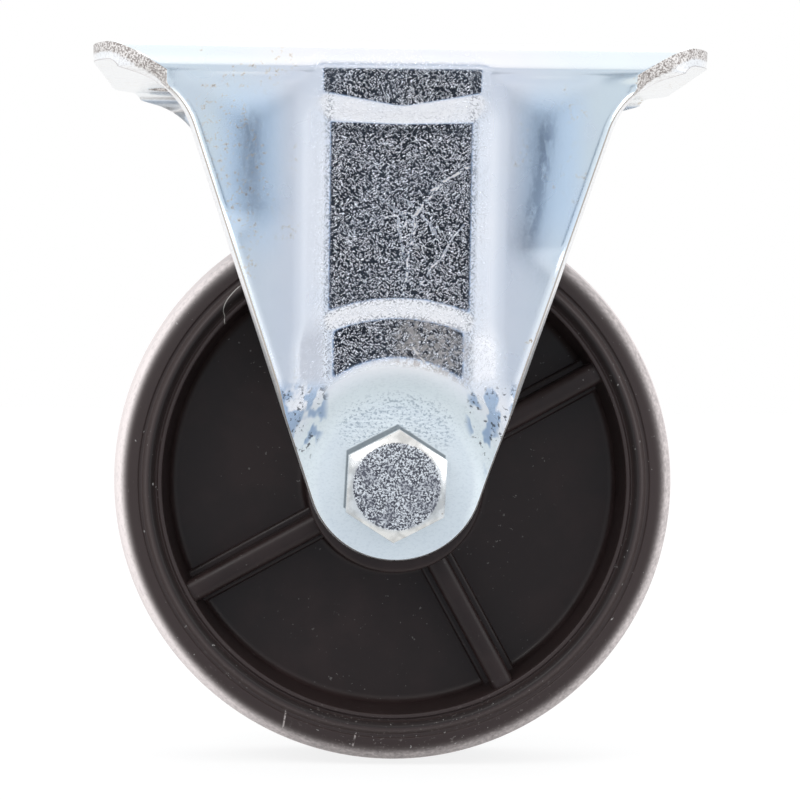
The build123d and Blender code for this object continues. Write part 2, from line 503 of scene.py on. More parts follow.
    def head_shade_band(self, at: SheetPlaces) -> Wire:
        """Finds the painted shade: a dark band where the bolt's head meets the eye, standing for the head's
        shadow and reflection.

        Args:
            at: where each point of the sheet is.

        Returns:
            The painted shade's mask.
        """
        reach: Number = 0.0
        for turn in (0.0, 60.0, 120.0):
            way = radians(turn - self.head_lean)
            along, up = at.across - self.shade_band_centre[0], at.height - self.shade_band_centre[1]
            reach = abs(along * cos(way) + up * sin(way)).most(reach)
        return reach.ramp(8.72, 8.45) * at.front * (1 - at.cut) * at.radius.ramp(16.0, 14.0)

    def stain(self, at: SheetPlaces) -> Wire:
        """Finds the brown stain on the lower panel of the bolt's leg.

        Args:
            at: where each point of the sheet is.

        Returns:
            The stain's mask.
        """
        bench = at.bench
        stained = at.front * at.radius.ramp(29.6, 28.4) * at.radius.ramp(20.2, 21.2)
        wander = at.across + (bench.noise(at.place, 3.0, 3.0, 0.6) - 0.5) * 9.0
        stained = stained * wander.ramp(-3.5, 1.5) * wander.ramp(14.0, 8.5)
        return stained * bench.noise(at.place, 1.1, 3.0, 0.65).ramp(0.40, 0.60)

    @staticmethod
    def stroke(across: Wire, level: Wire, ends: Stroke) -> Wire:
        """Adds one scratch as a thin line between two places.

        Args:
            across: wavering position along the castor in millimetres.
            level: wavering height in millimetres.
            ends: the two ends and the scratch's strength.

        Returns:
            The scratch's mask.
        """
        x0, z0, x1, z1, strength = ends
        length = sqrt((x1 - x0) ** 2 + (z1 - z0) ** 2)
        way = ((x1 - x0) / length, (z1 - z0) / length)
        along = (across - x0) * way[0] + (level - z0) * way[1]
        off = abs((across - x0) * way[1] - (level - z0) * way[0])
        within = along.ramp(-0.3, 0.5) * along.ramp(length + 0.3, length - 0.5)
        return off.ramp(0.24, 0.07) * within * strength

    def scratches(self, at: SheetPlaces) -> Wire:
        """Finds the pale scratches on the panel of the bolt's leg.

        Args:
            at: where each point of the sheet is.

        Returns:
            The scratches' mask.
        """
        bench = at.bench
        waver = bench.noise(at.place, 2.6, 2.0, 0.55) - 0.5
        elsewhere = bench.shifted(at.place, (0.03, 0.0, 0.02), (1.0, 1.0, 1.0))
        weave = bench.noise(elsewhere, 2.6, 2.0, 0.55) - 0.5
        bent_x, bent_z = at.across + waver * 1.6, at.level + weave * 1.6
        marks: Number = 0.0
        for ends in self.strokes:
            marks = self.stroke(bent_x, bent_z, ends) + marks
        return marks.clamped() * at.front * bench.noise(at.place, 0.7, 2.0).ramp(0.42, 0.56)

    def edge(self, at: SheetPlaces, torn: Wire) -> Wire:
        """Paints the cut edge: pale and smooth, rough and speckled at the plate's tips.

        Args:
            at: where each point of the sheet is.
            torn: share of the rough part at the tips.

        Returns:
            The edge's colour.
        """
        bench, through = at.bench, at.through
        fine = bench.noise(at.place, 0.32, 2.0, 0.6)
        edge = bench.mix(fine.ramp(0.50, 0.66) * 0.5, colour(0.95, 0.94, 0.94), colour(0.62, 0.59, 0.57))
        tan_line = through.ramp(0.26, 0.10) * at.level.ramp(-6.0, -9.0)
        edge = bench.mix(tan_line * 0.8, edge, colour(0.40, 0.33, 0.26))
        torn_tint = bench.mix(fine.ramp(0.40, 0.60), colour(0.17, 0.13, 0.11), colour(0.80, 0.76, 0.73))
        edge = bench.mix(torn * 0.85, edge, torn_tint)
        return bench.mix(through.ramp(0.93, 0.99) * 0.6, edge, colour(0.38, 0.33, 0.32))

    def flecks(self, at: SheetPlaces) -> Wire:
        """Weaves the orange peel from long grains that slant two ways.

        Args:
            at: where each point of the sheet is.

        Returns:
            The pattern's value, around 0.5.
        """
        bench, x, y, z = at.bench, at.x, at.y, at.z
        slants = []
        for rising, falling in ((1.0, self.peel_squash), (self.peel_squash, 1.0)):
            values = {0: (x + z) * rising, 1: y, 2: (x - z) * falling}
            slanted = bench.node("ShaderNodeCombineXYZ", None, values)
            slants.append(bench.noise(slanted, self.peel_pitch, 1.0, 0.5, 0.6))
        choice = bench.noise(at.place, 1.3, 1.0).ramp(0.46, 0.54)
        woven = slants[0] * choice + slants[1] * (1 - choice)
        return woven + (bench.noise(at.place, 3.4, 2.0, 0.6) - 0.5) * 0.10

    @staticmethod
    def crease_shade(at: SheetPlaces) -> Wire:
        """Finds the painted shade: dark lines along the pressed panel's walls, its step and its arch.

        Args:
            at: where each point of the sheet is.

        Returns:
            The painted shade's mask.
        """
        radius, level, side = at.radius, at.level, at.side
        uprights = abs(side - 12.2).ramp(1.1, 0.2) * radius.ramp(21.0, 23.0)
        arches = abs(radius - 31.9).ramp(1.0, 0.1).most(abs(radius - 29.1).ramp(0.9, 0.1))
        arches = arches.most(abs(level + 14.6).ramp(0.9, 0.1)) * side.ramp(12.6, 12.0)
        return uprights.most(arches) * level.ramp(-4.0, -5.0) * (1 - at.inner) * (1 - at.cut)

    def build(self) -> bpy.types.Material:
        """Makes the material.

        Returns:
            The finished material.
        """
        material, bench = new_material(self.name)
        at = find_places(bench, self.axle_z)
        place, radius, side, cut, outside = at.place, at.radius, at.side, at.cut, 1 - at.inner
        cloud = bench.noise(place, 11.0, 2.0, 0.5)
        grain = bench.noise(place, 0.5, 4.0, 0.7)
        torn = at.level.ramp(-11.0, -7.0) * (at.through + (grain - 0.5) * 0.5).ramp(0.66, 0.50)
        crown = radius.ramp(17.0, 14.5) * radius.ramp(8.8, 9.6)
        crown = crown * at.height.ramp(5.5, 8.0) * side.ramp(11.5, 8.0)
        stain, scratch, flecks = self.stain(at), self.scratches(at), self.flecks(at)

        # Colour
        zinc = self.mottle(at, self.specks(at, self.tint(at, cloud)), crown)
        # Painted shade and reflection round the bolt's head
        zinc = bench.mix(self.head_shade_band(at) * 0.8, zinc, colour(0.16, 0.19, 0.21))
        base = bench.mix(cut, zinc, self.edge(at, torn))
        # Painted shade: speckled dark lines along the panel's creases
        base = bench.mix(self.crease_shade(at) * flecks.ramp(0.50, 0.55) * 0.5, base, colour(0.24, 0.26, 0.30))
        base = bench.mix(stain * 0.55, base, colour(0.34, 0.29, 0.25))
        base = bench.mix(scratch * 0.8, base, colour(0.40, 0.385, 0.365))

        # Gloss, lowest on the cut edge and highest on the pressed panels
        low_wall = radius.ramp(31.0, 29.5) * side.ramp(18.5, 16.5)
        pressed = (side.ramp(15.4, 13.4) + low_wall).clamped() * at.level.ramp(-3.0, -4.0)
        pressed = pressed * outside * radius.ramp(19.5, 21.5)
        rough = 0.25 - pressed * 0.16 + cloud.ramp(0.3, 0.7) * 0.03 + at.eye * 0.19
        rough = rough + radius.ramp(13.0, 14.5) * radius.ramp(21.5, 19.0) * 0.20
        rough = rough * (1 - cut) + cut * (0.34 + torn * 0.3) + scratch * 0.3

        # Relief: orange peel as flat grains with steep sides, strongest on the pressed panels
        peel = flecks.ramp(0.547, 0.605)
        wave = bench.noise(place, self.wave_pitch, 1.0, 0.5)
        beside = side.ramp(17.6, 14.6) * radius.ramp(19.5, 21.5) * outside
        ripple = bench.noise(bench.shifted(place, (0.0, 0.0, 0.0), (0.55, 1.0, 1.4)), 0.8, 2.0, 0.6)
        relief = peel * (1 - cut) * (0.06 + beside * 0.12 + pressed * 0.82) + wave * 0.5 + scratch * 0.5
        relief = relief + ripple * (at.eye * 0.5 + crown * 1.6) * (1 - cut) + cut * grain * (0.3 + torn)
        normal = bench.bump(relief, self.peel_depth)

        # The stain and the scratches are a dull film on the metal
        film = (scratch * 0.62 + stain * 0.32).clamped()
        metallic = (1.0 - cut * (0.25 + torn * 0.5)) * (1 - film)
        surface = {"Base Color": base, "Metallic": metallic, "Roughness": rough, "Normal": normal}
        finish_material(bench, surface)
        return material


@dataclass(frozen=True)
class MouldedPlastic:
    """Black-brown moulded plastic with dust and rubbed marks on the rim."""

    name: str = "wheel_plastic"
    axle_z: float = AXLE_Z
    tint: Colour = (0.0155, 0.0092, 0.0088, 1.0)
    dust_tint: Colour = (0.34, 0.33, 0.32, 1.0)
    rub_tint: Colour = (0.20, 0.18, 0.17, 1.0)
    groove: float = 42.7
    bead: float = 44.0
    marks: tuple[tuple[float, float, float, float], ...] = (
        (204.3, -1.67, 44.1, 47.8),
        (188.3, 0.5, 43.9, 47.8),
    )

    def build(self) -> bpy.types.Material:
        """Makes the material.

        Returns:
            The finished material.
        """
        material, bench = new_material(self.name)
        place = bench.place()
        x, y, z = bench.split(place)
        up = (z - self.axle_z * MM) / MM
        along = x / MM
        radius = (along * along + up * up) ** 0.5
        cloud = bench.noise(place, 9.0, 3.0, 0.55)
        base = bench.mix(cloud.ramp(0.35, 0.65), self.tint, colour(0.021, 0.0125, 0.012))

        # Painted light and shade: the rim is paler than the pockets, with painted shade in the groove and a
        # painted highlight along the bead
        paler = radius.ramp(38.6, 39.8) * 0.2 + radius.ramp(40.6, 41.4) * 0.8
        base = bench.mix(paler, base, colour(0.036, 0.025, 0.024))
        base = bench.mix(abs(radius - self.groove).ramp(0.65, 0.3) * 0.75, base, colour(0.013, 0.010, 0.010))
        base = bench.mix(abs(radius - self.bead).ramp(0.75, 0.3) * 0.7, base, colour(0.062, 0.047, 0.045))

        # Dust specks, thicker on the rim
        rim = radius.ramp(40.5, 41.5)
        speck = bench.noise(place, 0.75, 2.0, 0.5).ramp(0.705, 0.735)
        thin = bench.noise(place, 14.0, 1.0).ramp(0.42, 0.62)
        dust = speck * (0.25 + rim * 0.5) * thin
        base = bench.mix(dust, base, self.dust_tint)

        # Pale marks rubbed across the rim's lower half
        angle = bench.maths("ARCTAN2", along, up)
        streak_values = {0: angle * 0.06, 1: radius * 0.0022, 2: y * 0.6}
        streak_place = bench.node("ShaderNodeCombineXYZ", None, streak_values)
        streak_noise = bench.noise(streak_place, 1.0, 3.0, 0.6)
        streak = streak_noise.ramp(0.60, 0.72)
        low = up.ramp(-24.0, -40.0)
        rub = streak * rim * low * thin
        base = bench.mix(rub * 0.5, base, self.rub_tint)

        # One thread of lint on the upper left of the bolt's side
        lint_gap = ((along + 21.0) ** 2.0 + (up - 27.5) ** 2.0) ** 0.5
        wave = bench.noise(place, 6.0, 0.0) - 0.5
        lint = abs(lint_gap - 9.0 + wave * 3.0).ramp(0.11, 0.03)
        lint = lint * along.ramp(-26.5, -28.0) * up.ramp(27.0, 28.0) * up.ramp(36.5, 35.5)
        lint = lint * (y / MM).ramp(-14.0, -15.0)
        base = bench.mix(lint * 0.7, base, colour(0.55, 0.53, 0.50))

        # Two thin pale lines across the rim: angle, lean, inner end and outer end of each
        marks: Number = 0.0
        for turn, lean, inner, outer in self.marks:
            off = abs(angle - (radians(turn - 360) + (radius - 46.0) * radians(lean * 0.2))) * radius
            length = radius.ramp(inner, inner + 0.6) * radius.ramp(outer, outer - 0.6)
            marks = off.ramp(0.22, 0.06) * length + marks
        marks = marks.clamped() * (y / MM).ramp(-8.0, -10.0) * bench.noise(place, 0.8, 2.0).ramp(0.36, 0.50)
        base = bench.mix(marks * 0.55, base, colour(0.62, 0.56, 0.54))

        # Painted reflection: where it is seen at a slant, the tread's shoulder is mixed, unevenly and most
        # on the left, with a pale diffuse shader
        grain = bench.noise(place, 0.45, 2.0, 0.5)
        rough = 0.36 + cloud.ramp(0.3, 0.7) * 0.08 + dust * 0.3 + rub * 0.1
        normal = bench.bump(grain + cloud * 1.5, 0.012)
        shared = {"Base Color": base, "Roughness": rough, "Specular IOR Level": 0.26, "Normal": normal}
        plain = bench.node("ShaderNodeBsdfPrincipled", None, shared)
        facing = bench.node("ShaderNodeLayerWeight", None, {"Blend": 0.5}, "Facing")
        # Pale diffuse shader of the painted reflection
        slant_reflection_paint = bench.node("ShaderNodeBsdfDiffuse", None, {"Color": colour(0.84, 0.76, 0.74)})
        uneven = 0.50 + along.ramp(-8.0, -42.0) * 0.50 + along.ramp(25.0, 46.0) * 0.14
        uneven = (uneven + (streak_noise - 0.5) * 0.9).clamped()
        shoulder = abs(y / MM).ramp(10.8, 13.2)
        sheen = (facing.ramp(0.03, 0.42) * shoulder * uneven).most(facing.ramp(0.66, 0.96) * 0.92)
        share = radius.ramp(45.8, 48.4) * sheen
        surface = bench.node("ShaderNodeMixShader", None, {0: share, 1: plain, 2: slant_reflection_paint})
        bench.node("ShaderNodeOutputMaterial", None, {"Surface": surface})
        return material


@dataclass(frozen=True)
class PlatedSteel:
    """Zinc-plated machined steel of the bolt and nut."""

    name: str
    face_radius: float = 0.0
    axle_z: float = AXLE_Z
    grain_pitch: float = 0.30
    grain_depth: float = 0.05

    def build(self) -> bpy.types.Material:
        """Makes the material.

        Returns:
            The finished material.
        """
        material, bench = new_material(self.name)
        place = bench.place()
        x, y, z = bench.split(place)
        up = (z - self.axle_z * MM) / MM
        along = x / MM
        radius = (along * along + up * up) ** 0.5
        face = radius.ramp(self.face_radius + 0.15, self.face_radius - 0.15) * (y / MM).ramp(-31.5, -31.8)
        fine = bench.noise(place, self.grain_pitch, 3.0, 0.65)
        coarse = bench.noise(place, 2.4, 2.0, 0.5)
        bright = bench.mix(coarse.ramp(0.4, 0.65), colour(0.78, 0.78, 0.77), colour(0.58, 0.58, 0.57))
        # The head's front face: speckled forged grain, painted very dark as a painted reflection of the dark
        # side of the studio in front of it
        dull = bench.mix(fine.ramp(0.46, 0.57), colour(0.065, 0.065, 0.085), colour(0.97, 0.97, 0.97))
        dull = bench.mix(coarse.ramp(0.46, 0.62) * 0.4, dull, colour(0.20, 0.20, 0.24))
        base = bench.mix(face * 0.95, bright, dull)
        speck = bench.noise(place, 1.1, 2.0, 0.6).ramp(0.70, 0.74)
        base = bench.mix(speck * 0.5, base, colour(0.33, 0.27, 0.21))
        rough = 0.2 + face * 0.04 + coarse.ramp(0.4, 0.7) * 0.08
        normal = bench.bump(fine * (0.35 + face * 0.9) + coarse * 0.6, self.grain_depth)
        finish_material(bench, {"Base Color": base, "Metallic": 1.0, "Roughness": rough, "Normal": normal})
        return material


@dataclass(frozen=True)
class DrawnTube:
    """Plain drawn steel of the axle tube, with fine lines round it."""

    name: str = "tube_steel"

    def build(self) -> bpy.types.Material:
        """Makes the material.

        Returns:
            The finished material.
        """
        material, bench = new_material(self.name)
        place = bench.place()
        lines = bench.noise(bench.shifted(place, (0, 0, 0), (0.15, 4.0, 0.15)), 1.0, 3.0, 0.6)
        stain = bench.noise(place, 4.0, 2.0)
        base = bench.mix(lines.ramp(0.3, 0.7), colour(0.45, 0.45, 0.46), colour(0.60, 0.60, 0.61))
        base = bench.mix(stain.ramp(0.55, 0.7) * 0.4, base, colour(0.30, 0.25, 0.20))
        rough = 0.3 + lines * 0.15
        normal = bench.bump(lines, 0.01)
        finish_material(bench, {"Base Color": base, "Metallic": 1.0, "Roughness": rough, "Normal": normal})
        return material


@dataclass(frozen=True)
class RingNylon:
    """Milky nylon of the lock nut's ring."""

    name: str = "ring_nylon"

    def build(self) -> bpy.types.Material:
        """Makes the material.

        Returns:
            The finished material.
        """
        material, bench = new_material(self.name)
        place = bench.place()
        cloud = bench.noise(place, 2.0, 3.0, 0.6)
        base = bench.mix(cloud.ramp(0.35, 0.7), colour(0.78, 0.80, 0.79), colour(0.62, 0.65, 0.66))
        normal = bench.bump(bench.noise(place, 0.4, 2.0), 0.01)
        rough = 0.42 + cloud * 0.1
        finish_material(bench, {"Base Color": base, "Roughness": rough, "Normal": normal})
        return material


# Mesh helpers


class Shading(Enum):
    """How a mesh's faces meet in its shading."""

    CRISP = 28.0
    SOFT = 42.0


def add_object(name: str, data: Any) -> bpy.types.Object:
    """Makes an object and links it to the scene.

    Args:
        name: the object's name.
        data: its mesh, camera or lamp.

    Returns:
        The object.
    """
    made = bpy.data.objects.new(name, data)
    bpy.context.scene.collection.objects.link(made)
    return made


def store(mesh: bpy.types.Mesh, name: str, domain: str, values: Sequence[float]) -> None:
    """Stores one number for each face or vertex of a mesh.

    Args:
        mesh: mesh to store them in.
        name: the attribute's name.
        domain: FACE or POINT.
        values: the numbers in order.
    """
    mesh.attributes.new(name, "FLOAT", domain).data.foreach_set("value", values)


def make_object(name: str, points: np.ndarray, faces: Sequence[Sequence[int]]) -> bpy.types.Object:
    """Makes a closed mesh object from points in millimetres.

    Args:
        name: the object's name.
        points: one row of X, Y and Z for each vertex.
        faces: vertex numbers of each face.

    Returns:
        The object, with doubles merged and normals pointing outwards.
    """
    mesh = bpy.data.meshes.new(name)
    mesh.from_pydata((np.asarray(points) * MM).tolist(), [], [list(face) for face in faces])
    tidy_mesh(mesh)
    return add_object(name, mesh)


def tidy_mesh(mesh: bpy.types.Mesh) -> None:
    """Merges doubled vertices and turns the faces outwards.

    Args:
        mesh: mesh to change.
    """
    shape = bmesh.new()
    shape.from_mesh(mesh)
    bmesh.ops.remove_doubles(shape, verts=shape.verts, dist=1e-6)
    bmesh.ops.recalc_face_normals(shape, faces=shape.faces)
    shape.to_mesh(mesh)
    shape.free()


def shade(piece: bpy.types.Object, style: Shading) -> None:
    """Shades a piece smoothly between its sharp edges.

    Args:
        piece: piece to shade.
        style: angle above which an edge stays sharp.
    """
    piece.data.shade_smooth()
    piece.data.set_sharp_from_angle(angle=radians(style.value))


def dress(piece: bpy.types.Object, material: bpy.types.Material) -> None:
    """Gives a piece one material.

    Args:
        piece: piece to dress.
        material: its finish.
    """
    piece.data.materials.clear()
    piece.data.materials.append(material)


def join_meshes(name: str, parts: Sequence[bpy.types.Object]) -> bpy.types.Object:
    """Joins objects into one new piece and removes them.

    Args:
        name: name of the new piece.
        parts: objects whose meshes are joined.

    Returns:
        The joined piece.
    """
    shape = bmesh.new()
    for part in parts:
        shape.from_mesh(part.data)
    mesh = bpy.data.meshes.new(name)
    shape.to_mesh(mesh)
    shape.free()
    for part in parts:
        bpy.data.objects.remove(part)
    return add_object(name, mesh)


def settle(piece: bpy.types.Object) -> None:
    """Turns a piece's modifiers into a plain mesh.

    Args:
        piece: piece whose modifiers are applied and removed.
    """
    graph = bpy.context.evaluated_depsgraph_get()
    graph.update()
    mesh = bpy.data.meshes.new_from_object(piece.evaluated_get(graph))
    piece.modifiers.clear()
    piece.data = mesh


def rounded(corners: Sequence[tuple[float, float, float]], steps: int = 6) -> Profile:
    """Rounds the corners of an open line.

    Args:
        corners: position along, position out and radius of each corner.
        steps: number of pieces of each rounding.

    Returns:
        The points of the rounded line.
    """
    line: Profile = []
    for index, (a, b, radius) in enumerate(corners):
        if radius <= 0 or index in (0, len(corners) - 1):
            line.append((a, b))
            continue
        here = Vector((a, b))
        before = Vector(corners[index - 1][:2]) - here
        after = Vector(corners[index + 1][:2]) - here
        half = before.angle(after) / 2
        reach = min(radius / tan(half), before.length * 0.49, after.length * 0.49)
        middle = here + (before.normalized() + after.normalized()).normalized() * (reach / cos(half))
        start, end = here + before.normalized() * reach, here + after.normalized() * reach
        first, last = start - middle, end - middle
        sweep = first.angle(last)
        for step in range(steps + 1):
            share = step / steps
            point = (first * sin((1 - share) * sweep) + last * sin(share * sweep)) / sin(sweep)
            line.append(tuple(middle + point))
    return line


def lathe(name: str, outline: Profile, axle_z: float, steps: int) -> bpy.types.Object:
    """Turns a closed outline round the axle.

    Args:
        name: the object's name.
        outline: positions along Y and out from the axle, in order round the section.
        axle_z: height of the axle.
        steps: number of pieces round the axle.

    Returns:
        The turned piece.
    """
    section = np.array(outline)
    turns = np.arange(steps) * 2 * pi / steps
    grid = np.stack(
        [
            section[None, :, 1] * np.cos(turns)[:, None],
            np.broadcast_to(section[None, :, 0], (steps, len(section))),
            axle_z + section[None, :, 1] * np.sin(turns)[:, None],
        ],
        axis=-1,
    )
    count = len(section)
    faces = []
    for turn in range(steps):
        after = (turn + 1) % steps
        for spot in range(count):
            beyond = (spot + 1) % count
            here, there = turn * count, after * count
            faces.append((here + spot, there + spot, there + beyond, here + beyond))
    return make_object(name, grid.reshape(-1, 3), faces)


def smooth_share(values: np.ndarray, low: float, high: float) -> np.ndarray:
    """Rises softly from 0 at low to 1 at high, in either direction.

    Args:
        values: positions.
        low: position of 0.
        high: position of 1.

    Returns:
        The share at each position.
    """
    share = np.clip((values - low) / (high - low), 0, 1)
    return share * share * (3 - 2 * share)


def soft_least(first: np.ndarray, second: np.ndarray, width: float) -> np.ndarray:
    """Smaller of two heights with a rounded change between them.

    Args:
        first: one set of heights.
        second: the other set.
        width: width of the rounding.

    Returns:
        The blended heights.
    """
    near = np.clip(width - np.abs(first - second), 0, None) / width
    return np.minimum(first, second) - near * near * width / 4


class NodeShape:
    """Geometry Nodes modifier whose tree is built in this script."""

    def __init__(self, name: str, sizes: dict[str, float]) -> None:
        """Starts a tree with named inputs for its sizes.

        Args:
            name: name of the tree and its object.
            sizes: value of each named input.
        """
        self.name = name
        self.sizes = sizes
        self.tree = bpy.data.node_groups.new(name, "GeometryNodeTree")
        self.tree.interface.new_socket("Geometry", in_out="OUTPUT", socket_type="NodeSocketGeometry")
        self.sockets = {}
        for label, value in sizes.items():
            whole = isinstance(value, int)
            kind = "NodeSocketInt" if whole else "NodeSocketFloat"
            self.sockets[label] = self.tree.interface.new_socket(label, in_out="INPUT", socket_type=kind)
        self.bench = Bench(self.tree)
        entry = self.bench.node("NodeGroupInput")
        self.inputs = {label: Wire(self.bench, entry.socket.node.outputs[label]) for label in sizes}

    def close(self, shape: Wire, material: bpy.types.Material) -> bpy.types.Object:
        """Ends the tree in Realize Instances and Set Material and makes its mesh.

        Args:
            shape: the geometry so far.
            material: its finish.

        Returns:
            A plain mesh object.
        """
        real = self.bench.node("GeometryNodeRealizeInstances", None, {0: shape})
        painted = self.bench.node("GeometryNodeSetMaterial", None, {"Geometry": real, "Material": material})
        self.bench.node("NodeGroupOutput", None, {0: painted})
        piece = add_object(self.name, bpy.data.meshes.new(self.name))
        modifier = piece.modifiers.new("shape", "NODES")
        modifier.node_group = self.tree
        for label, value in self.sizes.items():
            modifier[self.sockets[label].identifier] = value
        settle(piece)
        return piece


# Bracket


@dataclass
class Bracket:
    """Pressed bracket: a slotted plate and two legs with a recessed panel and a flat eye."""

    finish: bpy.types.Material
    axle_z: float = AXLE_Z
    half_length: float = 52.5
    half_width: float = 42.5
    corner: float = 13.0
    sheet: float = 3.0
    bend: float = 5.0
    eye_face: float = EYE_FACE
    eye_radius: float = 15.4
    eye_centre: float = -73.0
    flank_angle: float = 18.3
    tip_z: float = -3.1
    tip_angle: float = 15.8
    flare_radius: float = 14.0
    shoulder: float = -6.0
    lean_slope: float = 0.1783
    step_level: float = -8.0
    step_vee: float = 2.7
    step_end: float = -13.5
    top_depth: float = 0.6
    main_depth: float = 1.7
    low_depth: float = 1.2
    arch_radius: float = 31.9
    arch_width: float = 2.8
    panel_half: float = 13.8
    wall_width: float = 1.6
    bulge_slope: float = 0.13
    bulge_width: float = 4.6
    cone_start: float = 17.2
    cone_slope: float = 0.886
    cut_inset: float = 0.95
    eye_inset: float = 0.38
    columns: int = 58
    slot_pitch: tuple[float, float] = (80.0, 60.0)
    slot_size: tuple[float, float] = (12.0, 9.0)
    hole_radius: float = 5.3

    def outline(self, z: np.ndarray) -> np.ndarray:
        """Half width of a leg's outline.

        Args:
            z: heights.

        Returns:
            The half width at each height.
        """
        angle, tip = radians(self.flank_angle), radians(self.tip_angle)
        flank = self.eye_radius / cos(angle) + (z - self.eye_centre) * tan(angle)
        top = self.half_length - (self.tip_z - z) / tan(tip)
        tip_root = self.tip_z - self.half_length * tan(tip)
        low_x = self.eye_radius / cos(angle) + (tip_root - self.eye_centre) * tan(angle)
        corner_x = low_x / (1 - tan(tip) * tan(angle))
        corner_z = self.tip_z - tan(tip) * (self.half_length - corner_x)
        reach = self.flare_radius * tan((pi / 2 - angle - tip) / 2)
        low = (corner_x - reach * sin(angle), corner_z - reach * cos(angle))
        high = corner_z + reach * sin(tip)
        centre = (low[0] + self.flare_radius * cos(angle), low[1] - self.flare_radius * sin(angle))
        arc = centre[0] - np.sqrt(np.clip(self.flare_radius**2 - (z - centre[1]) ** 2, 0, None))
        return np.where(z < low[1], flank, np.where(z < high, arc, np.clip(top, 0, self.half_length)))

    def corner_limit(self, y: np.ndarray) -> np.ndarray:
        """Half length of the plate's rounded outline.

        Args:
            y: distances from the middle across the plate.

        Returns:
            The half length at each distance.
        """
        out = np.clip(y - (self.half_width - self.corner), 0, self.corner)
        return self.half_length - self.corner + np.sqrt(self.corner**2 - out**2)

    def panel(self, x: np.ndarray, z: np.ndarray) -> np.ndarray:
        """Distance of the pressed-in panel and its walls from the castor's middle.

        Args:
            x: positions along the castor.
            z: heights.

        Returns:
            The distance at each place, past the leg's own face outside the walls.
        """
        side = np.abs(x)
        radius = np.hypot(x, z - self.axle_z)
        step_start = self.step_level - self.step_vee * np.clip(1 - np.sqrt(side**2 + 1.0) / 13.0, 0, 1)
        main = self.main_depth * smooth_share(z, step_start, self.step_end)
        low = self.low_depth * np.clip((self.arch_radius - radius) / self.arch_width, 0, 1)
        depth = self.top_depth + main + low
        climb = (side - (self.panel_half - 0.5 * depth)) / (self.wall_width + 1.02 * depth)
        climb = 0.5 * (climb + np.sqrt(climb**2 + 0.012))
        plane = self.half_width + (z - self.shoulder) * self.lean_slope
        return plane - depth * (1 - climb)

    def bulge(self, x: np.ndarray, z: np.ndarray) -> np.ndarray:
        """Shallow bulge of the flanks beside the panel.

        Args:
            x: positions along the castor.
            z: heights.

        Returns:
            How far the flank stands out of the crest beside the panel.
        """
        left = np.interp(z, (-31.0, -24.0, -10.0), (24.6, 26.2, 26.4))
        left = left + 11.0 * smooth_share(z, -27.0, -38.0)
        right = np.interp(z, (-38.0, -31.0, -23.0, -16.0), (21.5, 22.4, 23.5, 24.2))
        right = right + 11.0 * smooth_share(z, -33.0, -43.0)
        middle = np.where(x < 0, left, right)
        width = self.bulge_width
        place = np.clip(np.abs(x), 15.0, None)
        rise = np.log(np.cosh((16.3 - middle) / width)) - np.log(np.cosh((place - middle) / width))
        return self.bulge_slope * width * rise * smooth_share(z, -4.6, -7.0)

    def face(self, x: np.ndarray, z: np.ndarray) -> np.ndarray:
        """Distance of a leg's outer face from the castor's middle.

        Args:
            x: positions along the castor.
            z: heights.

        Returns:
            The distance at each place.
        """
        side = np.abs(x)
        radius = np.hypot(x, z - self.axle_z)
        below = self.shoulder - 0.4 - z
        fall = 0.5 * (below + np.sqrt(below**2 + 0.6))
        crest = self.half_width - fall * self.lean_slope
        edge = self.outline(np.clip(z, -77.0, -8.0))
        flare = np.clip((side - edge + 1.9) / 1.0, 0, 1.2)
        lip = 0.45 * flare**2 * smooth_share(z, -66.0, -58.0) * smooth_share(z, -6.0, -9.0)
        leg = soft_least(crest + self.bulge(x, z) + lip, np.full_like(z, self.half_width), 0.6)
        leg = soft_least(leg, self.panel(x, z), 0.5)
        turn_in = np.clip((radius - 13.0) / 4.2, 0, 1)
        rise = 2.1 * turn_in**2 + np.clip(radius - self.cone_start, 0, None)
        cone = self.eye_face + self.cone_slope * rise
        return soft_least(leg, cone, 1.3)

    def spread(self, width: np.ndarray) -> np.ndarray:
        """Column positions of each row, closer together on the panel's walls and at the edge.

        Args:
            width: half width of each row.

        Returns:
            One row of positions from the left edge to the right one for each width.
        """
        rows = []
        for half in width:
            places = np.linspace(0, half, 300)
            dense = 1 + 1.6 * np.exp(-(((places - 14.5) / 2.6) ** 2))
            dense = dense + 1.2 * np.exp(-(((places - half) / 2.5) ** 2))
            total = np.concatenate([[0], np.cumsum((dense[1:] + dense[:-1]) / 2)])
            wanted = np.linspace(0, total[-1], self.columns)
            right = np.interp(wanted, total, places)
            rows.append(np.concatenate([-right[:0:-1], right]))
        return np.array(rows)

    def half_rows(self) -> tuple[np.ndarray, np.ndarray]:
        """Points of both skins from the plate's middle to the bottom of one leg.

        Returns:
            The outer and the inner points, by row and column, with Y positive.
        """
        outer, inner = [], []
        flat = np.concatenate([np.linspace(0, 28, 8), np.linspace(29.5, 37.5, 12)])[:-1]
        for skin, rows in ((0.0, outer), (self.sheet, inner)):
            x = self.spread(self.corner_limit(flat))
            y = np.broadcast_to(flat[:, None], x.shape)
            rows.append(np.stack([x, y, np.full(x.shape, -skin)], -1))

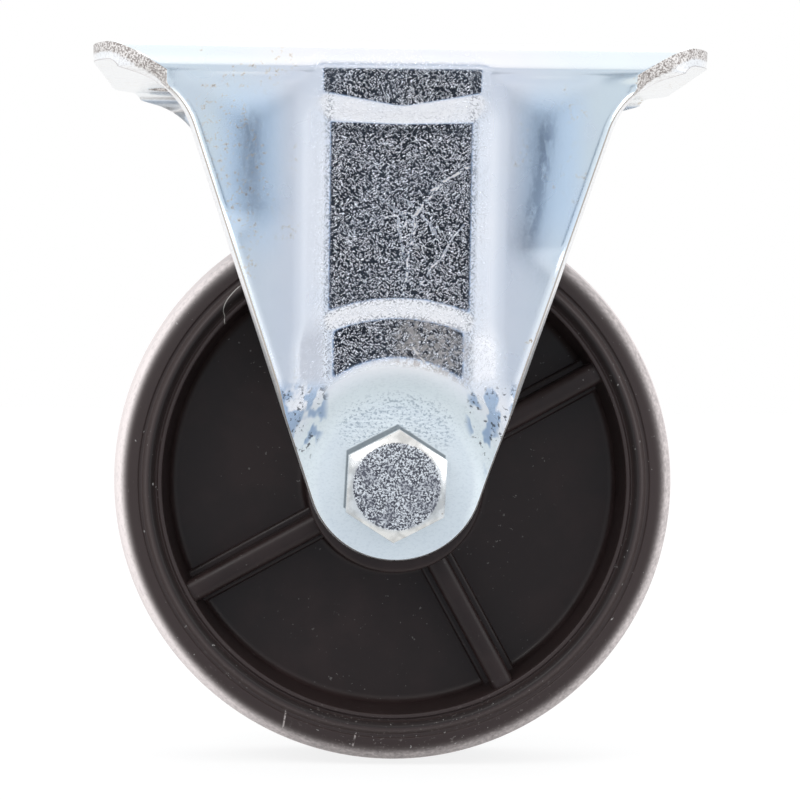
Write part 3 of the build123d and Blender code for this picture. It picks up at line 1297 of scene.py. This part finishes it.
        turns = np.radians(np.linspace(90, 0, 15))[:-1]
        for skin, rows in ((0.0, outer), (self.sheet, inner)):
            radius = self.bend - skin
            y = self.half_width - self.bend + radius * np.cos(turns)
            z = -self.bend + radius * np.sin(turns)
            width = self.corner_limit(y)
            if skin:
                width = np.minimum(width, np.where(z > self.tip_z, self.half_length, self.outline(z)))
            x = self.spread(width)
            start = self.half_width - self.bend
            level = self.panel(x, np.full_like(x, -self.bend)) - start
            across = np.cos(turns)[:, None] - self.lean_slope * np.sin(turns)[:, None]
            wall = np.where(across > 0.05, level / across, 99.0)
            reach = soft_least(np.full_like(x, self.bend), wall, 0.5) - skin
            y = start + reach * np.cos(turns)[:, None]
            z = -self.bend + reach * np.sin(turns)[:, None]
            rows.append(np.stack([x, y, z], -1))

        tangent = self.eye_centre - self.eye_radius * sin(radians(self.flank_angle))
        stretches = ((-5, -14, 28), (-14, -60, 86), (-60, tangent, 36))
        z = np.concatenate([np.linspace(*stretch)[:-1] for stretch in stretches])
        inset = self.cut_inset + (self.eye_inset - self.cut_inset) * smooth_share(z, -57.0, -64.0)
        limit = self.corner_limit(np.full_like(z, self.half_width))
        widths = (soft_least(self.outline(z) - inset, limit, 1.0), self.outline(z))
        widths[0][0] = limit[0]
        angles = np.radians(np.linspace(self.flank_angle, 90, 30))
        for skin, rows, width, radius in (
            (0.0, outer, widths[0], self.eye_radius - self.eye_inset),
            (self.sheet, inner, widths[1], self.eye_radius),
        ):
            x = self.spread(np.concatenate([width, radius * np.cos(angles)]))
            heights = np.concatenate([z, self.eye_centre - radius * np.sin(angles)])
            heights = np.broadcast_to(heights[:, None], x.shape)
            rows.append(np.stack([x, self.face(x, heights) - skin, heights], -1))
        return np.concatenate(outer), np.concatenate(inner)

    def shell(self) -> bpy.types.Object:
        """Makes the bracket's closed skin without its holes.

        Returns:
            The skin, with the attributes of its cut edges.
        """
        halves = self.half_rows()
        skins = []
        for half in halves:
            mirrored = half[:0:-1] * np.array([1, -1, 1])
            skins.append(np.concatenate([mirrored, half]))
        outer, inner = skins
        rows, columns = outer.shape[:2]
        across = np.array([0.0, 0.06, 0.94, 1.0])
        walls = []
        for column in (0, columns - 1):
            start, end = outer[:, column], inner[:, column]
            way = end - start
            side = np.sign(column - 1) * np.array([1.0, 0, 0])
            wall = [start + way * share for share in across]
            wall[1] = wall[1] + side * 0.12
            wall[2] = wall[2] + side * 0.05
            walls.append(np.stack(wall, 1))
        points = np.concatenate([grid.reshape(-1, 3) for grid in (outer, inner, *walls)])
        faces, cut = [], []
        size = rows * columns

        def quads(first: int, wide: int, is_cut: float) -> None:
            """Adds the quads of one grid of points."""
            for row in range(rows - 1):
                for place in range(wide - 1):
                    low = first + row * wide + place
                    faces.append((low, low + 1, low + 1 + wide, low + wide))
                    cut.append(is_cut)

        quads(0, columns, 0.0)
        quads(size, columns, 0.0)
        quads(2 * size, len(across), 1.0)
        quads(2 * size + rows * len(across), len(across), 1.0)
        mesh = bpy.data.meshes.new("bracket_sheet")
        mesh.from_pydata((points * MM).tolist(), [], faces)
        through = np.zeros(len(points))
        wall_share = np.tile(across, rows)
        through[2 * size :] = np.concatenate([wall_share, wall_share])
        through[size : 2 * size] = 1.0
        store(mesh, "cut", "FACE", cut)
        store(mesh, "across", "POINT", through)
        tidy_mesh(mesh)
        return add_object("bracket_sheet", mesh)

    def cutters(self) -> bpy.types.Object:
        """Makes the solids that cut the bolt slots and the axle's holes.

        Returns:
            One object that holds them all.
        """
        points, faces = [], []

        def prism(ring: list[tuple[float, float, float]], way: tuple[float, float, float]) -> None:
            """Adds a prism on a ring of points."""
            first, count = len(points), len(ring)
            points.extend(ring)
            points.extend([(a + way[0], b + way[1], c + way[2]) for a, b, c in ring])
            faces.append(list(range(first, first + count)))
            faces.append(list(range(first + 2 * count - 1, first + count - 1, -1)))
            for spot in range(count):
                after = (spot + 1) % count
                faces.append([first + spot, first + spot + count, first + after + count, first + after])

        radius = self.slot_size[1] / 2
        straight = self.slot_size[0] / 2 - radius
        for across in (-0.5, 0.5):
            for along in (-0.5, 0.5):
                ring = []
                for step in range(48):
                    turn = (step + 0.5) * 2 * pi / 48
                    shift = straight if cos(turn) > 0 else -straight
                    x = along * self.slot_pitch[0] + shift + radius * cos(turn)
                    y = across * self.slot_pitch[1] + radius * sin(turn)
                    ring.append((x, y, 2.0))
                prism(ring, (0, 0, -8.0))
        turns = [step * 2 * pi / 64 for step in range(64)]
        hole = [(self.hole_radius * cos(t), -30.0, self.axle_z + self.hole_radius * sin(t)) for t in turns]
        prism(hole, (0, 60.0, 0))
        cutter = make_object("bracket_cutters", np.array(points), faces)
        store(cutter.data, "cut", "FACE", np.ones(len(cutter.data.polygons)))
        store(cutter.data, "across", "POINT", np.full(len(cutter.data.vertices), 0.5))
        return cutter

    def build(self) -> bpy.types.Object:
        """Makes the bracket with its holes and puts it in place of the CAD node.

        Returns:
            The finished piece.
        """
        piece, cutter = self.shell(), self.cutters()
        boolean = piece.modifiers.new("holes", "BOOLEAN")
        boolean.object, boolean.operation, boolean.solver = cutter, "DIFFERENCE", "EXACT"
        settle(piece)
        bpy.data.objects.remove(cutter)
        shade(piece, Shading.SOFT)
        dress(piece, self.finish)
        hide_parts("bracket")
        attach(piece, "bracket_body")
        return piece


# Wheel


@dataclass
class Wheel:
    """Moulded wheel: one turned section with four spokes on each side of its web."""

    finish: bpy.types.Material
    axle_z: float = AXLE_Z
    radius: float = 50.0
    bore: float = 7.58
    hub_half: float = 22.0
    hub_radius: float = 15.5
    web_half: float = 5.5
    pocket_floor: float = 39.8
    pocket_radius: float = 41.0
    side: float = 15.8
    groove_edge: float = 41.5
    bead_start: float = 42.3
    bead_end: float = 44.3
    tread_start: float = 45.5
    shoulder: float = 3.6
    spokes: int = 4
    spoke_angle: float = 29.0
    spoke_width: float = 4.0
    spoke_base: float = 6.4
    steps: int = 240

    def section(self) -> Profile:
        """Outline of the wheel's turned section.

        Returns:
            Its points in order, along Y and out from the axle.
        """
        corners = [
            (0.0, self.bore, 0.0),
            (self.hub_half - 0.6, self.bore, 0.2),
            (self.hub_half, self.bore + 0.6, 0.2),
            (self.hub_half, self.hub_radius, 0.9),
            (self.web_half, self.hub_radius + 0.3, 1.5),
            (self.web_half, self.pocket_floor, 1.5),
            (self.side, self.pocket_radius - 0.15, 0.35),
            (self.side, self.groove_edge, 0.12),
            (self.side - 0.7, (self.groove_edge + self.bead_start) / 2, 0.18),
            (self.side + 0.1, self.bead_start + 0.05, 0.2),
            (self.side + 0.7, self.bead_start + 0.6, 0.6),
            (self.side + 0.7, self.bead_end - 0.6, 0.6),
            (self.side - 0.25, self.bead_end + 0.1, 0.3),
            (self.side - 0.25, self.bead_end + 0.6, 0.3),
            (self.side + 0.05, self.tread_start - 0.35, 0.25),
            (self.side, self.tread_start, 0.0),
        ]
        half = rounded(corners, 5)
        for step in range(1, 11):
            turn = radians(9 * step)
            inward, outward = self.shoulder * (1 - cos(turn)), self.shoulder * sin(turn)
            half.append((self.side - inward, self.tread_start + outward))
        crown = self.radius - self.tread_start - self.shoulder
        start = self.side - self.shoulder
        for share in (0.2, 0.4, 0.6, 0.8, 1.0):
            half.append((start * (1 - share), self.radius - crown * (1 - share) ** 2))
        other = [(-a, b) for a, b in reversed(half[1:-1])]
        return half + other

    def spoke_shape(self) -> bpy.types.Object:
        """Makes the four spokes, each a rounded bar on a low base.

        Returns:
            All of them in one mesh.
        """
        shape = NodeShape(
            "wheel_spokes",
            {
                "Inner end": (self.hub_radius - 1.0) * MM,
                "Outer end": (self.pocket_radius + 0.4) * MM,
                "Bar height": 2 * (self.side - 0.9) * MM,
                "Bar width": self.spoke_width * MM,
                "Base height": 2 * (self.web_half + 1.2) * MM,
                "Base width": self.spoke_base * MM,
                "Bar rounding": 1.5 * MM,
                "Base rounding": 0.7 * MM,
                "First angle": radians(self.spoke_angle),
                "Axle height": self.axle_z * MM,
                "Count": self.spokes,
            },
        )
        bench, size = shape.bench, shape.inputs
        start = bench.node("ShaderNodeCombineXYZ", None, {"X": size["Inner end"]})
        end = bench.node("ShaderNodeCombineXYZ", None, {"X": size["Outer end"]})
        line = bench.node("GeometryNodeCurvePrimitiveLine", {"mode": "POINTS"}, {"Start": start, "End": end})
        level = bench.node("GeometryNodeSetCurveNormal", {"mode": "Z_UP"}, {"Curve": line})
        bars = []
        for name in ("Bar", "Base"):
            frame_line = bench.node(
                "GeometryNodeCurvePrimitiveQuadrilateral",
                {"mode": "RECTANGLE"},
                {"Width": size[f"{name} height"], "Height": size[f"{name} width"]},
            )
            soft = bench.node(
                "GeometryNodeFilletCurve",
                {"mode": "POLY"},
                {"Curve": frame_line, "Count": 6, "Radius": size[f"{name} rounding"], "Limit Radius": True},
            )
            values = {"Curve": level, "Profile Curve": soft, "Fill Caps": True}
            bars.append(bench.node("GeometryNodeCurveToMesh", None, values))
        spoke = bench.node("GeometryNodeJoinGeometry", None, {0: bars})
        centre = bench.node("ShaderNodeCombineXYZ", None, {"Z": size["Axle height"]})
        spots = bench.node("GeometryNodePoints", None, {"Count": size["Count"], "Position": centre})
        index = bench.node("GeometryNodeInputIndex")
        turn = 0.0 - (size["First angle"] + index * (2 * pi) / size["Count"])
        turned = bench.node("ShaderNodeCombineXYZ", None, {"Y": turn})
        wheel = bench.node(
            "GeometryNodeInstanceOnPoints", None, {"Points": spots, "Instance": spoke, "Rotation": turned}
        )
        return shape.close(wheel, self.finish)

    def build(self) -> bpy.types.Object:
        """Makes the wheel and puts it in place of the CAD node.

        Returns:
            The finished piece.
        """
        body = lathe("wheel_body_turned", self.section(), self.axle_z, self.steps)
        piece = join_meshes("wheel_moulding", [body, self.spoke_shape()])
        shade(piece, Shading.SOFT)
        dress(piece, self.finish)
        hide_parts("wheel")
        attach(piece, "wheel_body")
        return piece


# Axle hardware


@dataclass
class Hardware:
    """Bolt, lock nut, its ring and the axle tube."""

    bolt_finish: bpy.types.Material
    nut_finish: bpy.types.Material
    tube_finish: bpy.types.Material
    ring_finish: bpy.types.Material
    axle_z: float = AXLE_Z
    eye_face: float = EYE_FACE
    flats: float = 17.0
    head_height: float = 6.4
    face_share: float = 0.893
    head_lean: float = HEAD_LEAN
    shank: float = 4.9
    core: float = 4.15
    pitch: float = 1.5
    crest: float = 5.0
    thread_start: float = 23.5
    bolt_end: float = 38.1
    nut_hex: float = 6.6
    nut_height: float = 10.0
    collar: float = 7.7
    mouth: float = 5.75
    nut_bore: float = 5.05
    ring_groove: float = 6.4
    steps: int = 120

    def hex_grid(self, rings: Sequence[Callable[[float], tuple[float, float]]], lean: float) -> tuple:
        """Points of a hexagonal solid, ring by ring.

        Args:
            rings: functions from the hexagon's reach at a place to (out, along Y).
            lean: turn of the hexagon in degrees.

        Returns:
            The points and the quads between the rings.
        """
        points, faces = [], []
        for ring in rings:
            for step in range(self.steps):
                turn = 2 * pi * step / self.steps
                off = (turn % (pi / 3)) - pi / 6
                out, along = ring(self.flats / 2 / cos(off))
                place = turn + radians(lean)
                points.append((out * cos(place), along, self.axle_z + out * sin(place)))
        for row in range(len(rings) - 1):
            for step in range(self.steps):
                after = (step + 1) % self.steps
                a, b = row * self.steps + step, row * self.steps + after
                faces.append((a, b, b + self.steps, a + self.steps))
        return points, faces

    def head(self) -> bpy.types.Object:
        """Makes the bolt's hexagonal head with its chamfered face.

        Returns:
            The head.
        """
        front = -self.eye_face - self.head_height
        face = self.face_share * self.flats / 2
        soft = 0.22

        def chamfer(out: float) -> float:
            """Place of the chamfer along Y at a distance from the axle."""
            return front + max(0.0, out - face) * CHAMFER_SLOPE

        def shoulder(reach: float) -> float:
            """Distance from the axle at which the hexagon's edge starts to round."""
            return max(face + 0.1, reach - soft)

        rings = [
            lambda reach: (0.0, front),
            lambda reach: (face * 0.5, front),
            lambda reach: (face - 0.3, front),
            lambda reach: (face + 0.08, front + 0.03),
            lambda reach: (shoulder(reach), chamfer(shoulder(reach))),
            lambda reach: (reach - soft * 0.3, chamfer(reach) - 0.02),
            lambda reach: (reach, chamfer(reach) + soft),
            lambda reach: (reach, -self.eye_face - 0.15),
            lambda reach: (reach - 0.15, -self.eye_face),
            lambda reach: (0.0, -self.eye_face),
        ]
        points, faces = self.hex_grid(rings, 30.0 - self.head_lean)
        return make_object("bolt_head", np.array(points), faces)

    def thread(self) -> bpy.types.Object:
        """Makes the thread at the bolt's free end as a coil on its core.

        Returns:
            The coil.
        """
        length = self.bolt_end - 1.0 - self.thread_start
        shape = NodeShape(
            "bolt_thread",
            {
                "Coil radius": (self.core - 0.05) * MM,
                "Length": length * MM,
                "Turns": length / self.pitch,
                "Ridge": (self.crest - self.core) * MM,
                "Start": self.thread_start * MM,
                "Axle height": self.axle_z * MM,
            },
        )
        bench, size = shape.bench, shape.inputs
        coil = bench.node(
            "GeometryNodeCurveSpiral",
            None,
            {
                "Resolution": 48,
                "Rotations": size["Turns"],
                "Start Radius": size["Coil radius"],
                "End Radius": size["Coil radius"],
                "Height": size["Length"],
            },
        )
        level = bench.node("GeometryNodeSetCurveNormal", {"mode": "Z_UP"}, {"Curve": coil})
        values = {"Resolution": 4, "Radius": size["Ridge"]}
        tooth = bench.node("GeometryNodeCurvePrimitiveCircle", {"mode": "RADIUS"}, values)
        ridge = bench.node(
            "GeometryNodeCurveToMesh", None, {"Curve": level, "Profile Curve": tooth, "Fill Caps": True}
        )
        place = bench.node("ShaderNodeCombineXYZ", None, {"Y": size["Start"], "Z": size["Axle height"]})
        laid = bench.node(
            "GeometryNodeTransform",
            None,
            {"Geometry": ridge, "Translation": place, "Rotation": (-pi / 2, 0.0, 0.0)},
        )
        return shape.close(laid, self.bolt_finish)

    def build_bolt(self) -> bpy.types.Object:
        """Makes the bolt and puts it in place of the CAD node.

        Returns:
            The finished piece.
        """
        line = [
            (-self.eye_face - 0.5, 0.0),
            (-self.eye_face - 0.5, self.shank),
            (self.thread_start - 0.5, self.shank),
            (self.thread_start + 0.3, self.core),
            (self.bolt_end - 0.9, self.core),
            (self.bolt_end, self.core - 0.8),
            (self.bolt_end, 0.0),
        ]
        shank = lathe("bolt_shank", line, self.axle_z, 64)
        piece = join_meshes("axle_bolt_turned", [self.head(), shank, self.thread()])
        shade(piece, Shading.CRISP)
        dress(piece, self.bolt_finish)
        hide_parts("axle_bolt")
        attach(piece, "bracket_body")
        return piece

    def build_nut(self) -> bpy.types.Object:
        """Makes the lock nut with its crimped collar and puts it in place of the CAD node.

        Returns:
            The finished piece.
        """
        base = self.eye_face
        top = base + self.nut_hex
        end = base + self.nut_height
        face = self.flats / 2 - 0.1
        ring_top, ring_foot = end - 0.5, end - 2.9

        def cone(out: float) -> float:
            """Set-back of the chamfer at a distance from the axle."""
            return max(0.0, out - face) * CHAMFER_SLOPE

        rings = [
            lambda reach: (self.nut_bore, base),
            lambda reach: (face - 0.2, base),
            lambda reach: (reach - 0.1, base + cone(reach - 0.1)),
            lambda reach: (reach, base + cone(reach) + 0.12),
            lambda reach: (reach, top - cone(reach) - 0.12),
            lambda reach: (reach - 0.1, top - cone(reach - 0.1)),
            lambda reach: (self.collar + 0.15, top),
            lambda reach: (self.collar, top + 0.15),
            lambda reach: (self.collar, end - 1.3),
            lambda reach: (self.collar - 0.25, end - 0.6),
            lambda reach: (self.collar - 0.8, end - 0.12),
            lambda reach: (self.collar - 1.3, end),
            lambda reach: (self.mouth + 0.2, end),
            lambda reach: (self.mouth, end - 0.2),
            lambda reach: (self.mouth, ring_top),
            lambda reach: (self.ring_groove, ring_top),
            lambda reach: (self.ring_groove, ring_foot),
            lambda reach: (self.nut_bore, ring_foot),
            lambda reach: (self.nut_bore, base),
        ]
        points, faces = self.hex_grid(rings, 30.0)
        piece = make_object("lock_nut_turned", np.array(points), faces)
        shade(piece, Shading.CRISP)
        dress(piece, self.nut_finish)
        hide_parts("lock_nut")
        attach(piece, "bracket_body")
        return piece

    def dress_nodes(self, nodes: dict[str, bpy.types.Object]) -> None:
        """Gives the CAD nodes that stay their finishes.

        Args:
            nodes: the frame's nodes by name.
        """
        for name, material in (("axle_tube", self.tube_finish), ("lock_nut_ring", self.ring_finish)):
            node = nodes[name]
            for slot in node.material_slots:
                slot.material = material
            if not node.material_slots:
                node.data.materials.append(material)


# Studio


@dataclass
class Studio:
    """Camera, floor, world and lamps."""

    camera_at: tuple[float, float, float] = (-15.8, -600.0, -50.4)
    aim_at: tuple[float, float, float] = (1.3, 0.0, -60.7)
    lens: float = 149.5
    sensor: float = 36.0
    roll: float = 0.6
    floor_z: float = -125.0
    floor_size: float = 6.0

    def add_camera(self) -> None:
        """Adds the camera at the photograph's angle."""
        data = bpy.data.cameras.new("camera")
        data.lens, data.sensor_width = self.lens, self.sensor
        data.clip_start, data.clip_end = 0.01, 50.0
        camera = add_object("camera", data)
        place = Vector(self.camera_at) * MM
        way = Vector(self.aim_at) * MM - place
        turn = way.to_track_quat("-Z", "Y").to_matrix().to_4x4()
        roll = Matrix.Rotation(radians(self.roll), 4, "Z")
        camera.matrix_world = Matrix.Translation(place) @ turn @ roll
        bpy.context.scene.camera = camera

    def add_floor(self) -> None:
        """Adds the pale floor under the wheel."""
        half, z = self.floor_size / 2, self.floor_z * MM
        mesh = bpy.data.meshes.new("floor")
        corners = [(-half, -half, z), (half, -half, z), (half, half, z), (-half, half, z)]
        mesh.from_pydata(corners, [], [(0, 1, 2, 3)])
        floor = add_object("floor", mesh)
        material, bench = new_material("pale_floor")
        paint = bench.node("ShaderNodeBsdfDiffuse", None, {"Color": colour(0.82, 0.82, 0.82)})
        glow = bench.node("ShaderNodeEmission", None, {"Color": colour(1, 1, 1), "Strength": 1.06})
        seen = bench.node("ShaderNodeLightPath", None, None, "Is Camera Ray")
        surface = bench.node("ShaderNodeMixShader", None, {0: seen * 0.8, 1: paint, 2: glow})
        bench.node("ShaderNodeOutputMaterial", None, {"Surface": surface})
        mesh.materials.append(material)
        floor.visible_glossy = False

    def add_world(self) -> None:
        """Paints the studio round the object, bright with a darker camera side."""
        world = bpy.data.worlds.new("studio")
        world.use_nodes = True
        world.node_tree.nodes.clear()
        bpy.context.scene.world = world
        bench = Bench(world.node_tree)
        way = bench.node("ShaderNodeTexCoord", None, None, "Generated")
        dx, dy, dz = bench.split(way)
        depth = abs(dy).most(0.02)
        rise = dz / depth
        near = dy.ramp(0.0, -0.3)
        pale, blue = colour(0.74, 0.80, 0.87), colour(0.62, 0.70, 0.81)
        stops = [
            (0.0, pale),
            (0.16, pale),
            (0.25, colour(0.88, 0.92, 0.97)),
            (0.36, colour(0.84, 0.89, 0.95)),
            (0.45, blue),
            (0.60, blue),
            (0.70, colour(1.0, 1.0, 1.0)),
        ]
        level = bench.node("ShaderNodeMapRange", None, {"Value": rise, "From Min": -0.3, "From Max": 0.7})
        low = bench.node("ShaderNodeValToRGB", {"stops": stops}, {0: level})
        room = bench.mix(near, colour(1.0, 1.0, 1.0), low)
        room = bench.mix(dy.ramp(0.0, 0.3) * dz.ramp(0.05, 0.25), room, colour(0.78, 0.84, 0.90))
        room = bench.mix(dz.ramp(0.42, 0.60), room, colour(1.12, 1.12, 1.12))
        room = bench.mix(abs(dx).ramp(0.50, 0.82), room, colour(0.90, 0.95, 1.0))
        room = bench.mix((0.0 - dx).ramp(0.83, 0.92) * dz.ramp(0.0, -0.15), room, colour(1.25, 1.25, 1.25))
        room = bench.mix(dx.ramp(0.83, 0.92) * dz.ramp(0.0, -0.15), room, colour(0.62, 0.66, 0.72))
        room = bench.mix(dz.ramp(-0.50, -0.70), room, colour(0.97, 0.98, 0.98))
        turn = abs(dx / depth - 0.026)
        halo = turn.ramp(0.19, 0.10) * abs(rise + 0.36).ramp(0.25, 0.16) * near
        dark = turn.ramp(0.125, 0.07) * abs(rise + 0.335).ramp(0.21, 0.12) * near
        room = bench.mix(halo * 0.85, room, colour(0.24, 0.40, 0.66))
        room = bench.mix(dark, room, colour(0.016, 0.018, 0.024))
        seen = bench.node("ShaderNodeLightPath", None, None, "Is Camera Ray")
        shade_of = bench.mix(seen, room, colour(1.0, 1.0, 1.0))
        light = bench.node("ShaderNodeBackground", None, {"Color": shade_of, "Strength": 1.0})
        bench.node("ShaderNodeOutputWorld", None, {"Surface": light})

    def add_lamps(self) -> None:
        """Adds soft area lamps at a plain level."""
        for name, place, size, power in (
            ("key", (-0.7, -0.9, 0.8), 0.7, 5.0),
            ("fill", (0.9, -0.6, 0.4), 0.8, 2.5),
            ("back", (0.2, 1.0, 0.7), 0.9, 3.0),
        ):
            data = bpy.data.lights.new(name, "AREA")
            data.energy, data.size, data.shape = power, size, "DISK"
            data.specular_factor = 0.2
            lamp = add_object(name, data)
            lamp.location = place
            way = Vector((0, 0, -0.06)) - Vector(place)
            lamp.rotation_euler = way.to_track_quat("-Z", "Y").to_euler()

    def build(self) -> None:
        """Adds everything and sets the plain view transform."""
        self.add_camera()
        self.add_floor()
        self.add_world()
        self.add_lamps()
        bpy.context.scene.view_settings.view_transform = "Standard"


def main() -> None:
    """Builds the castor's looks piece by piece."""
    logging.basicConfig(level=logging.INFO, format="%(name)s: %(message)s")
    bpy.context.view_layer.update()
    bracket = Bracket(PressedZinc().build())
    wheel = Wheel(MouldedPlastic().build())
    hardware = Hardware(
        PlatedSteel("plated_bolt", face_radius=7.5).build(),
        PlatedSteel("plated_nut").build(),
        DrawnTube().build(),
        RingNylon().build(),
    )
    for label, build in (
        ("bracket", bracket.build),
        ("wheel", wheel.build),
        ("bolt", hardware.build_bolt),
        ("nut", hardware.build_nut),
    ):
        piece = build()
        log.info("%s: %d faces", label, len(piece.data.polygons))
    hardware.dress_nodes(frame["nodes"])
    Studio().build()
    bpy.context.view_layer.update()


if __name__ == "__main__":
    main()
